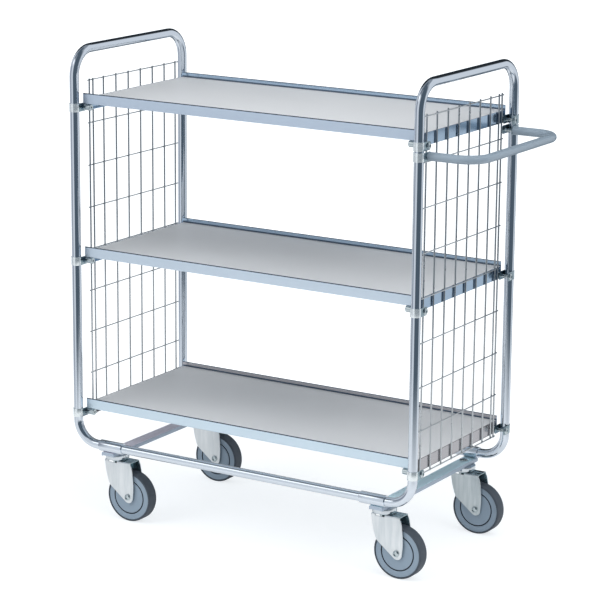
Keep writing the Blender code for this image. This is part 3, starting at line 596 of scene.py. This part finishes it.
nut_seat = ear_x + post_x - shelf_end + sheet + clamp_fit
nut_end = nut_seat + nut_length
bolt_and_nut = [
    (bolt_radius, 0), (bolt_radius, -nut_seat), (nut_radius - nut_edge, -nut_seat),
    (nut_radius, -nut_seat - nut_edge), (nut_radius, nut_edge - nut_end), (nut_radius - nut_edge, -nut_end),
    (nut_socket, -nut_end), (nut_socket, nut_socket_depth - nut_end), (0, nut_socket_depth - nut_end),
]
for level, top in levels.items():
    for corner, (end, side) in corners.items():
        bm = bmesh.new()
        clamp_body(bm, end * side, clamp_reach, bolt_from_post, bolt_and_nut)
        set_down(bm, (middle_x + end * post_x, side * post_y, top + lobe_z), side < 0)
        finished(
            f"strap_{level}_{corner}", bm, clamp_metals, "trolley_frame", "bolt_zinc",
            f"post_clamp_{level}_{corner}",
        )


# Push handle
# A bent steel tube, powder coated blue-grey. Its ends butt on the outer ears of their own
# clamps, and a bolt from inside each clamp pulls into a threaded plug in the tube.
handle_radius = 0.010
handle_wall = 0.0015
handle_bend = 0.055
handle_from_post = 0.0228
handle_reach = 0.13446
handle_drop = 0.0576


def powder_coat():
    """Smooth powder coat with a fine orange peel and slight tone changes."""
    material, tree, shader, place = surface("handle_coat", (0.285, 0.35, 0.415), metallic=0, roughness=0.34)
    clouds = patches(tree, place, scale=14.0, detail=4.0, low=0.2, high=0.8)
    tinted(tree, shader, clouds, (0.26, 0.325, 0.39), (0.285, 0.355, 0.42))
    glossed(tree, shader, patches(tree, place, scale=25.0, detail=3.0, low=0.28, high=0.40))
    bumped(tree, shader, patches(tree, place, scale=900.0, detail=2.0), strength=0.25, distance=0.0002)
    shader.inputs["Coat Weight"].default_value = 0.25
    shader.inputs["Coat Roughness"].default_value = 0.15
    return material


handle_z = levels["top"] - handle_drop
handle_y = post_y - handle_from_post
handle_start = middle_x + post_x + ear_x + clamp_fit
grip_x = middle_x + post_x + handle_reach
bm = bmesh.new()
tube(bm, [
    (handle_start, -handle_y, handle_z), (grip_x, -handle_y, handle_z),
    (grip_x, handle_y, handle_z), (handle_start, handle_y, handle_z),
], [handle_bend, handle_bend], handle_radius, handle_wall)
finished("bent_handle", bm, [powder_coat()], "trolley_frame", "handle_coat", "handle")

handle_bolt = 2 * ear_x + clamp_fit
handle_shank = [(bolt_radius, 0), (bolt_radius, -handle_bolt), (0, -handle_bolt)]
for name, side in sides.items():
    bm = bmesh.new()
    clamp_body(bm, side, clamp_reach + handle_from_post - bolt_from_post, handle_from_post, handle_shank)
    set_down(bm, (middle_x + post_x, side * post_y, handle_z), side < 0)
    finished(f"handle_strap_{name}", bm, clamp_metals, "trolley_frame", "bolt_zinc", f"handle_clamp_{name}")
    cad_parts[f"handle_plug_{name}"].material_slots[0].material = bolt_zinc


# Swivel cups and kingpins
# A pressed and zinc plated cup under each end of the cross members, with the ball race below it,
# held by a kingpin whose low round head lies on the cross member and whose nut is in the fork.
cup_height = 0.0126
cup_edge = 0.003
cup_rim = 0.0008
race_height = 0.0014
race_radius = 0.020
collar_radius = 0.011
kingpin_radius = 0.006
kingpin_fit = 0.0004
kingpin_head_radius = 0.011
kingpin_head_height = 0.004
kingpin_socket = 0.0035
kingpin_socket_depth = 0.002
kingpin_nut_across = 0.019
kingpin_nut_height = 0.010
kingpin_past_nut = 0.003
bolt_tip = 0.0005
nut_corner = 0.0005


def bolt_shank(radius, length):
    """Profile points of a plain shank from its head to its tip, whose edge is broken."""
    return [(radius, 0), (radius, bolt_tip - length), (radius - bolt_tip, -length), (0, -length)]


def hexagon_nut(bm, middle, turn, across, height):
    """A hexagon nut with its edges broken."""
    radius = across / 2 / cos(pi / 6)
    made = bmesh.ops.create_cone(
        bm, cap_ends=True, segments=6, radius1=radius, radius2=radius, depth=height,
        matrix=Matrix.Translation(middle) @ turn,
    )
    rounded(bm, edges_at(made["verts"]), nut_corner, segments=2)


def swivel_cup(bm, low, high):
    """The cup with its ball race below and its collar above, turned in one."""
    radius, collar_top = (high.x - low.x) / 2, high.z - low.z
    floor_z, top_z = race_height, race_height + cup_height
    bore, rim, foot = kingpin_radius + kingpin_fit, radius - cup_rim, radius - cup_edge
    turned(bm, [
        (bore, collar_top), (collar_radius, collar_top), (collar_radius, top_z), (rim, top_z),
        *[(rim + x, top_z - cup_rim + y) for x, y in arc(cup_rim, pi / 2, 0, steps=3)][1:],
        *[(foot + x, floor_z + cup_edge + y) for x, y in arc(cup_edge, 0, -pi / 2, steps=6)],
        (race_radius, floor_z), (race_radius, 0), (bore, 0),
    ], ((low.x + high.x) / 2, (low.y + high.y) / 2, low.z), (0, 0, 1), steps=40, closed=True)


def kingpin(bm, low, high):
    """The kingpin with its head up, and its nut near its lower end."""
    x, y = (low.x + high.x) / 2, (low.y + high.y) / 2
    seat_z = high.z - kingpin_head_height
    head = bolt_head(kingpin_head_radius, kingpin_head_height, kingpin_socket, kingpin_socket_depth)
    turned(bm, head + bolt_shank(kingpin_radius, seat_z - low.z), (x, y, seat_z), (0, 0, 1), steps=28)
    nut_z = low.z + kingpin_past_nut + kingpin_nut_height / 2
    hexagon_nut(bm, (x, y, nut_z), Matrix(), kingpin_nut_across, kingpin_nut_height)


cup_zinc = zinc_plate("cup_zinc", (0.66, 0.71, 0.75), smooth=0.06, rough=0.14, spangle=60.0)
for corner in corners:
    bm = bmesh.new()
    swivel_cup(bm, *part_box(f"{corner}_swivel_cup"))
    finished(f"{corner}_cup", bm, [cup_zinc], "trolley_frame", "zinc_plate", f"{corner}_swivel_cup")
    bm = bmesh.new()
    kingpin(bm, *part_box(f"{corner}_kingpin"))
    finished(f"{corner}_pivot_bolt", bm, [bolt_zinc], "trolley_frame", "bolt_zinc", f"{corner}_kingpin")


# Forks
# One pressing each: a crown plate with rounded bends into two legs that run back and down to
# the axle. The bends are pierced over the kingpin. The rear right fork is darker, as painted shade.
fork_width = 0.041
fork_sheet = 0.0025
fork_bend = 0.0035
fork_edge = 0.0004
fork_height = 0.0885
fork_nose = 0.0235
fork_nose_bulge = 0.0030
fork_tail = 0.0520
fork_tail_bulge = 0.0050
knee_forward = 0.0090
knee_height = 0.0250
tip_radius = 0.0132
tip_behind = 0.0018
tip_below = 0.0012
slot_length = 0.024
slot_height = 0.0055
caster_trail = 0.0441
axle_z = 0.0625


def streaked_zinc(name, dark, light):
    """Zinc plate on the pressings, with faint upright streaks of lighter and darker tone."""
    material, tree, shader, place = surface(name, light, metallic=1, roughness=0.42)
    stretch = node(tree, "Mapping", Scale=(1.0, 1.0, 0.12))
    tree.links.new(place, stretch.inputs["Vector"])
    tinted(tree, shader, patches(tree, stretch.outputs["Vector"], scale=110.0, detail=3.0), dark, light)
    glossed(tree, shader, patches(tree, place, scale=30.0, detail=5.0, low=0.38, high=0.48))
    return material


def bulged(start, end, bulge, steps=16):
    """Points between two outline points on an arc that stands out to the left by the bulge."""
    chord = end - start
    outwards = Vector((-chord.y, chord.x)).normalized()
    radius = (chord.length ** 2 / 4 + bulge ** 2) / (2 * bulge)
    centre = (start + end) / 2 + outwards * (bulge - radius)
    sweep = 2 * acos((radius - bulge) / radius)
    return [centre + Matrix.Rotation(-sweep * step / steps, 2) @ (start - centre) for step in range(1, steps)]


def leg_outline(seam):
    """The leg seen from the side, up to the seam, from the slot's rear end round by the axle to its front end.

    X is measured from the kingpin, and height from the axle.
    """
    tip = Vector((caster_trail + tip_behind, -tip_below))
    knee = Vector((-knee_forward, knee_height))
    to_knee = knee - tip
    tangent = atan2(to_knee.y, to_knee.x) + acos(tip_radius / to_knee.length) - 2 * pi
    rear = bulged(Vector((fork_tail, fork_height)), tip + Vector((tip_radius, 0)), fork_tail_bulge)
    nose = bulged(knee, Vector((-fork_nose, fork_height)), fork_nose_bulge)
    return [
        Vector((slot_length / 2, seam)), Vector((fork_tail, seam)),
        *[point for point in rear if point.y < seam],
        *[tip + Vector(point) for point in arc(tip_radius, 0, tangent, steps=20)],
        knee, *[point for point in nose if point.y < seam],
        Vector((-fork_nose, seam)), Vector((-slot_length / 2, seam)),
    ]


def pierced(bm, kingpin_x, side_y, seam_z):
    """Opens the slot between the seam and the crown plate, over the kingpin."""
    slot = []
    for face in bm.faces:
        middle = face.calc_center_median()
        in_line = abs(middle.x - kingpin_x) < slot_length / 4
        if in_line and middle.z > seam_z and middle.y < side_y + fork_bend:
            slot.append(face)
    bmesh.ops.delete(bm, geom=slot, context="FACES")


def pressed_fork(bm, kingpin_x, y):
    """The outer side of half of the pressing, then mirrored. A Solidify gives it its sheet."""
    half, seam = fork_width / 2, fork_height - slot_height
    verts = [bm.verts.new((kingpin_x + x, y - half, axle_z + z)) for x, z in leg_outline(seam)]
    bm.faces.new(verts)
    seam_pairs = ((verts[0], verts[1]), (verts[-1], verts[0]), (verts[-2], verts[-1]))
    line = drawn_out(bm, [bm.edges.get(pair) for pair in seam_pairs], (0, 0, slot_height - fork_bend))
    bend_middle = (kingpin_x, y - half + fork_bend, axle_z + fork_height - fork_bend)
    line = quarter_turn(bm, line, bend_middle, (-1, 0, 0), steps=5)
    drawn_out(bm, line, (0, half - fork_bend, 0))
    pierced(bm, kingpin_x, y - half, axle_z + seam)
    bmesh.ops.mirror(
        bm, geom=bm.verts[:] + bm.edges[:] + bm.faces[:], matrix=Matrix.Translation((0, -y, 0)),
        merge_dist=same_point, axis="Y",
    )
    bmesh.ops.recalc_face_normals(bm, faces=bm.faces)


def given_sheet(fork):
    """Gives the surface its sheet, with painted shade inside, and breaks its edges."""
    wall = fork.modifiers.new("sheet", "SOLIDIFY")
    wall.thickness = fork_sheet
    wall.offset = -1
    wall.material_offset = 1
    edges = fork.modifiers.new("edges", "BEVEL")
    edges.width = fork_edge
    edges.segments = 2
    edges.limit_method = "ANGLE"
    edges.angle_limit = radians(50)


fork_zinc = streaked_zinc("fork_zinc", (0.64, 0.70, 0.73), (0.97, 0.99, 1.0))
rear_fork_painted_shade_zinc = streaked_zinc("rear_fork_painted_shade_zinc", (0.42, 0.50, 0.52), (0.84, 0.88, 0.90))
# Painted shade: a dark teal zinc on the crowns' top faces and on the pressings' inner side.
fork_painted_shade = zinc_plate("fork_painted_shade_zinc", (0.37, 0.48, 0.52), smooth=0.20, rough=0.32, spangle=30.0)
for corner in corners:
    low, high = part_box(f"{corner}_kingpin")
    # The rear right fork's darker zinc is painted shade and reflection.
    plating = rear_fork_painted_shade_zinc if corner == "rear_right" else fork_zinc
    bm = bmesh.new()
    pressed_fork(bm, (low.x + high.x) / 2, (low.y + high.y) / 2)
    fork = finished(
        f"{corner}_pressed_fork", bm, [plating, fork_painted_shade], f"{corner}_caster", "fork_zinc",
        f"{corner}_fork",
    )
    painted_top_faces(fork)
    given_sheet(fork)


# Wheels
# A moulded grey core with a ring groove on each face and a plain hub bore, and a darker rubber
# tread moulded round it.
groove_radius = 0.04375
groove_width = 0.0029
groove_depth = 0.0050
groove_slack = 1e-4
core_half = 0.0145
core_edge = 0.0006
hub_radius = 0.013
hub_bore = 0.0054
tyre_depth = 0.0042
tyre_fit = 0.0003
tyre_shoulder = 0.0036


def moulded(name, dark, light, smooth, rough, grain):
    """A moulded surface: slight tone clouds, a satin gloss and a fine grain."""
    material, tree, shader, place = surface(name, light, metallic=0, roughness=rough)
    tinted(tree, shader, patches(tree, place, scale=30.0, detail=5.0, low=0.2, high=0.8), dark, light)
    glossed(tree, shader, patches(tree, place, scale=45.0, detail=3.0, low=smooth, high=rough))
    bumped(tree, shader, patches(tree, place, scale=grain, detail=2.0), strength=0.2, distance=0.0003)
    return material


def wheel_core(bm, centre, rim, hub_half):
    """The core with its hub and grooves. The grooves' faces take the second material, the tread's dark rubber,
    as painted shade.
    """
    inner, face_edge, floor = groove_radius - groove_width, core_half - core_edge, core_half - groove_depth
    turned(bm, both_ways([
        (hub_bore, hub_half), (hub_radius - core_edge, hub_half), (hub_radius, hub_half - core_edge),
        (hub_radius, core_half), (inner - core_edge, core_half), (inner, face_edge), (inner, floor),
        (groove_radius, floor), (groove_radius, face_edge), (groove_radius + core_edge, core_half),
        (rim - core_edge, core_half), (rim, face_edge),
    ]), centre, (0, 1, 0), steps=64, closed=True)
    # Painted shade: the groove's floor and walls take the dark rubber's tone.
    for face in bm.faces:
        middle = face.calc_center_median() - centre
        from_axle = Vector((middle.x, middle.z)).length
        in_ring = inner - groove_slack < from_axle < groove_radius + groove_slack
        if in_ring and abs(middle.y) < face_edge:
            face.material_index = 1


def tyre(bm, centre, radius, half):
    """The tread, with rounded shoulders."""
    shoulder = [
        (radius - tyre_shoulder + x, half - tyre_shoulder + y)
        for x, y in arc(tyre_shoulder, pi / 2, 0, steps=8)
    ]
    profile = both_ways([(radius - tyre_depth, half)] + shoulder)
    turned(bm, profile, centre, (0, 1, 0), steps=96, closed=True)


tread = moulded(
    "tread_rubber", (0.054, 0.068, 0.088), (0.069, 0.086, 0.109), smooth=0.50, rough=0.70, grain=800.0,
)
core_grey = moulded(
    "wheel_plastic", (0.262, 0.34, 0.42), (0.288, 0.367, 0.447), smooth=0.36, rough=0.52, grain=600.0,
)
for corner in corners:
    low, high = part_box(f"{corner}_tyre")
    centre, wheel_radius = (low + high) / 2, (high.z - low.z) / 2
    hub_low, hub_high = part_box(f"{corner}_wheel_core")
    bm = bmesh.new()
    wheel_core(bm, centre, wheel_radius - tyre_depth - tyre_fit, (hub_high.y - hub_low.y) / 2)
    finished(
        f"{corner}_core", bm, [core_grey, tread], f"{corner}_wheel", "wheel_plastic", f"{corner}_wheel_core",
    )
    bm = bmesh.new()
    tyre(bm, centre, wheel_radius, (high.y - low.y) / 2)
    finished(f"{corner}_tread", bm, [tread], f"{corner}_wheel", "tread_rubber", f"{corner}_tyre")


# Axle bolts
# Round-headed zinc plated bolts from the front through both fork legs and the hub, each drawn up
# by a hexagon nut at the rear.
axle_radius = 0.005
axle_fit = 0.0003
axle_head_radius = 0.008
axle_head_height = 0.004
axle_socket = 0.0050
axle_socket_depth = 0.0026
axle_nut_across = 0.017
axle_nut_height = 0.007
axle_past_nut = 0.0015

for corner in corners:
    low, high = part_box(f"{corner}_tyre")
    x, y, z = (low + high) / 2
    seat = fork_width / 2 + axle_fit
    head = bolt_head(axle_head_radius, axle_head_height, axle_socket, axle_socket_depth)
    shank = bolt_shank(axle_radius, 2 * seat + axle_nut_height + axle_past_nut)
    bm = bmesh.new()
    turned(bm, head + shank, (x, y - seat, z), (0, -1, 0), steps=28)
    nut_middle = (x, y + seat + axle_nut_height / 2, z)
    hexagon_nut(bm, nut_middle, Matrix.Rotation(pi / 2, 4, "X"), axle_nut_across, axle_nut_height)
    finished(f"{corner}_axle", bm, [bolt_zinc], f"{corner}_caster", "bolt_zinc", f"{corner}_axle_bolt")


# Studio
# A white floor that keeps the soft shadows, three soft boxes, and a pale room with the dark parts
# that the chrome mirrors. None of it is part of the trolley.
floor_half = 30.0
still_floor = 0.7
white_from = 1.6
clear_from = 2.2
shadow_share = 0.555
glow_edges = (0.3, 0.9)
glow_shares = (0.3, 0.5)


def smooth_rise(tree, value, low, high, at_low=0.0, at_high=1.0):
    """Goes smoothly from one level to another while the value goes from low to high."""
    made = node(tree, "MapRange", From_Min=low, From_Max=high, To_Min=at_low, To_Max=at_high)
    made.interpolation_type = "SMOOTHSTEP"
    tree.links.new(value, made.inputs["Value"])
    return made.outputs["Result"]


def mixed(tree, share, first, second):
    """One shader that gives way to another."""
    made = tree.nodes.new("ShaderNodeMixShader")
    for socket, value in zip(made.inputs, (share, first, second)):
        tree.links.new(value, socket)
    return made.outputs[0]


def studio_floor():
    """White to the eye, with the trolley's soft shadow. Further off the metal looks past it at the room."""
    material = bpy.data.materials.new("studio_floor")
    material.use_nodes = True
    tree = material.node_tree
    tree.nodes.clear()
    length = tree.nodes.new("ShaderNodeVectorMath")
    length.operation = "LENGTH"
    tree.links.new(tree.nodes.new("ShaderNodeTexCoord").outputs["Object"], length.inputs[0])
    distance = length.outputs["Value"]
    paint = node(tree, "BsdfDiffuse", Color=(0.86, 0.87, 0.88, 1)).outputs[0]
    glow = node(tree, "Emission", Color=(1, 1, 1, 1), Strength=1.0).outputs[0]
    lift = node(tree, "Emission", Color=(0.945, 0.975, 1, 1), Strength=1.365).outputs[0]
    clear = tree.nodes.new("ShaderNodeBsdfTransparent").outputs[0]
    path = tree.nodes.new("ShaderNodeLightPath")
    eye = mixed(tree, smooth_rise(tree, distance, still_floor, white_from, shadow_share, 1.0), paint, lift)
    near = mixed(tree, smooth_rise(tree, distance, *glow_edges, *glow_shares), paint, glow)
    mirrored = mixed(tree, smooth_rise(tree, distance, still_floor, clear_from), near, clear)
    seen = mixed(tree, path.outputs["Is Camera Ray"], paint, eye)
    out = tree.nodes.new("ShaderNodeOutputMaterial")
    tree.links.new(mixed(tree, path.outputs["Is Glossy Ray"], seen, mirrored), out.inputs["Surface"])
    return material


bm = bmesh.new()
bmesh.ops.create_grid(bm, x_segments=1, y_segments=1, size=floor_half)
floor_mesh = bpy.data.meshes.new("studio_floor")
bm.to_mesh(floor_mesh)
bm.free()
floor_mesh.materials.append(studio_floor())
floor = bpy.data.objects.new("studio_floor", floor_mesh)
bpy.context.scene.collection.objects.link(floor)

# The room's parts as the metal mirrors them: bearings run to the right from the front, in degrees.
side_bearings = (-3, 9, 98, 124)
corner_bearings = (-84, -68, -50, -34)
back_bearings = (160, 172, -122, -108)
back_heights = (0.30, 0.45)
ceiling_heights = (0.90, 0.96)
cove_heights = (0.70, 0.80)
cove_share = 0.72
pale_tone = (0.74, 0.77, 0.81)
corner_tone = (0.30, 0.32, 0.37)
window_tone = (1.5, 1.5, 1.5)
dark_tone = (0.09, 0.12, 0.15)
door_tone = (0.02, 0.025, 0.03)


def studio_world():
    """A pale room. What the metal mirrors has a dark side, a grey corner, a dark back and a dark ceiling."""
    world = bpy.data.worlds.new("studio")
    world.use_nodes = True
    tree = world.node_tree
    tree.nodes.clear()
    direction = tree.nodes.new("ShaderNodeTexCoord").outputs["Generated"]
    parts = tree.nodes.new("ShaderNodeSeparateXYZ")
    tree.links.new(direction, parts.inputs[0])

    def calc(operation, *values):
        made = tree.nodes.new("ShaderNodeMath")
        made.operation = operation
        for socket, value in zip(made.inputs, values):
            if isinstance(value, (int, float)):
                socket.default_value = value
            else:
                tree.links.new(value, socket)
        return made.outputs[0]

    def rise(value, low, high):
        return smooth_rise(tree, value, low, high)

    def fall(value, low, high):
        return calc("SUBTRACT", 1.0, rise(value, low, high))

    def between(value, start, full, fade, stop):
        return calc("MULTIPLY", rise(value, start, full), fall(value, fade, stop))

    def spot(heading, pitch, edge, core):
        towards = tree.nodes.new("ShaderNodeVectorMath")
        towards.operation = "DOT_PRODUCT"
        heading, pitch = radians(heading), radians(pitch)
        towards.inputs[1].default_value = (cos(pitch) * sin(heading), -cos(pitch) * cos(heading), sin(pitch))
        tree.links.new(direction, towards.inputs[0])
        return rise(towards.outputs["Value"], cos(radians(edge)), cos(radians(core)))

    def blended(share, first, second):
        made = node(tree, "Mix")
        made.data_type = "RGBA"
        tree.links.new(share, made.inputs["Factor"])
        for socket, colour in ((made.inputs[6], first), (made.inputs[7], second)):
            if isinstance(colour, tuple):
                socket.default_value = (*colour, 1)
            else:
                tree.links.new(colour, socket)
        return made.outputs[2]

    bearing = calc("ARCTAN2", parts.outputs["X"], calc("MULTIPLY", parts.outputs["Y"], -1.0))
    height = parts.outputs["Z"]
    dark_side = between(bearing, *map(radians, side_bearings))
    grey_corner = between(bearing, *map(radians, corner_bearings))
    cove = calc("MULTIPLY", rise(height, *cove_heights), cove_share)
    ceiling = calc("MAXIMUM", rise(height, *ceiling_heights), cove)
    back_start, back_full, back_fade, back_stop = map(radians, back_bearings)
    back = calc("MAXIMUM", rise(bearing, back_start, back_full), fall(bearing, back_fade, back_stop))
    back = calc("MULTIPLY", back, fall(height, *back_heights))
    wide_door = spot(heading=-168, pitch=30, edge=30, core=15)
    narrow_door = spot(heading=-128, pitch=35, edge=27, core=14)
    window = spot(heading=-42, pitch=38, edge=14, core=7)
    doors = calc("MAXIMUM", wide_door, narrow_door)
    dark = calc("MAXIMUM", calc("MAXIMUM", dark_side, ceiling), calc("MAXIMUM", doors, back))
    pale = blended(window, blended(grey_corner, pale_tone, corner_tone), window_tone)
    room = node(tree, "Background", Color=(0.92, 0.96, 1.0, 1), Strength=0.55).outputs[0]
    gloss = node(tree, "Background", Strength=1.0)
    tree.links.new(blended(doors, blended(dark, pale, dark_tone), door_tone), gloss.inputs["Color"])
    white = node(tree, "Background", Color=(1, 1, 1, 1), Strength=1.0).outputs[0]
    path = tree.nodes.new("ShaderNodeLightPath")
    mirrored = mixed(tree, path.outputs["Is Glossy Ray"], room, gloss.outputs[0])
    seen = mixed(tree, path.outputs["Is Camera Ray"], mirrored, white)
    tree.links.new(seen, tree.nodes.new("ShaderNodeOutputWorld").inputs["Surface"])
    return world


def soft_light(name, position, target, size, watts):
    """A square soft box that faces its target."""
    lamp = bpy.data.lights.new(name, "AREA")
    lamp.size = size
    lamp.energy = watts
    light = bpy.data.objects.new(name, lamp)
    light.location = position
    light.rotation_euler = (Vector(target) - Vector(position)).to_track_quat("-Z", "Y").to_euler()
    light.visible_glossy = False
    bpy.context.scene.collection.objects.link(light)


bpy.context.scene.world = studio_world()
soft_light("overhead_softbox", position=(1.5, -0.6, 4.8), target=(0, 0, 0.5), size=4.5, watts=88)
soft_light("right_softbox", position=(3.4, -0.9, 3.1), target=(0.3, 0, 0.6), size=1.8, watts=34)
soft_light("front_softbox", position=(-3.0, -3.6, 3.6), target=(0, 0, 0.5), size=3.6, watts=112)


# Camera
# A long lens from the trolley's front right, about 2 m above the floor and 6 m away. It looks a
# little down.
camera_bearing = radians(31.7702)
camera_elevation = radians(13.6015)
camera_roll = radians(0.4766)
camera_distance = 6.0455
camera_lens = 149.96
look_height = 0.55
look_right = 0.0227
look_up = 0.0149

camera = bpy.data.objects.new("camera", bpy.data.cameras.new("camera"))
turn = (
    Matrix.Rotation(camera_bearing, 4, "Z") @ Matrix.Rotation(pi / 2 - camera_elevation, 4, "X")
    @ Matrix.Rotation(camera_roll, 4, "Z")
)
right, up, back = (turn.to_3x3().col[axis] for axis in range(3))
look_at = Vector((middle_x, 0, look_height)) + right * look_right + up * look_up
camera.matrix_world = Matrix.Translation(look_at + back * camera_distance) @ turn
camera.data.lens = camera_lens
camera.data.sensor_width = 36
camera.data.clip_end = 100
bpy.context.scene.collection.objects.link(camera)
bpy.context.scene.camera = camera
bpy.context.scene.view_settings.view_transform = "Standard"
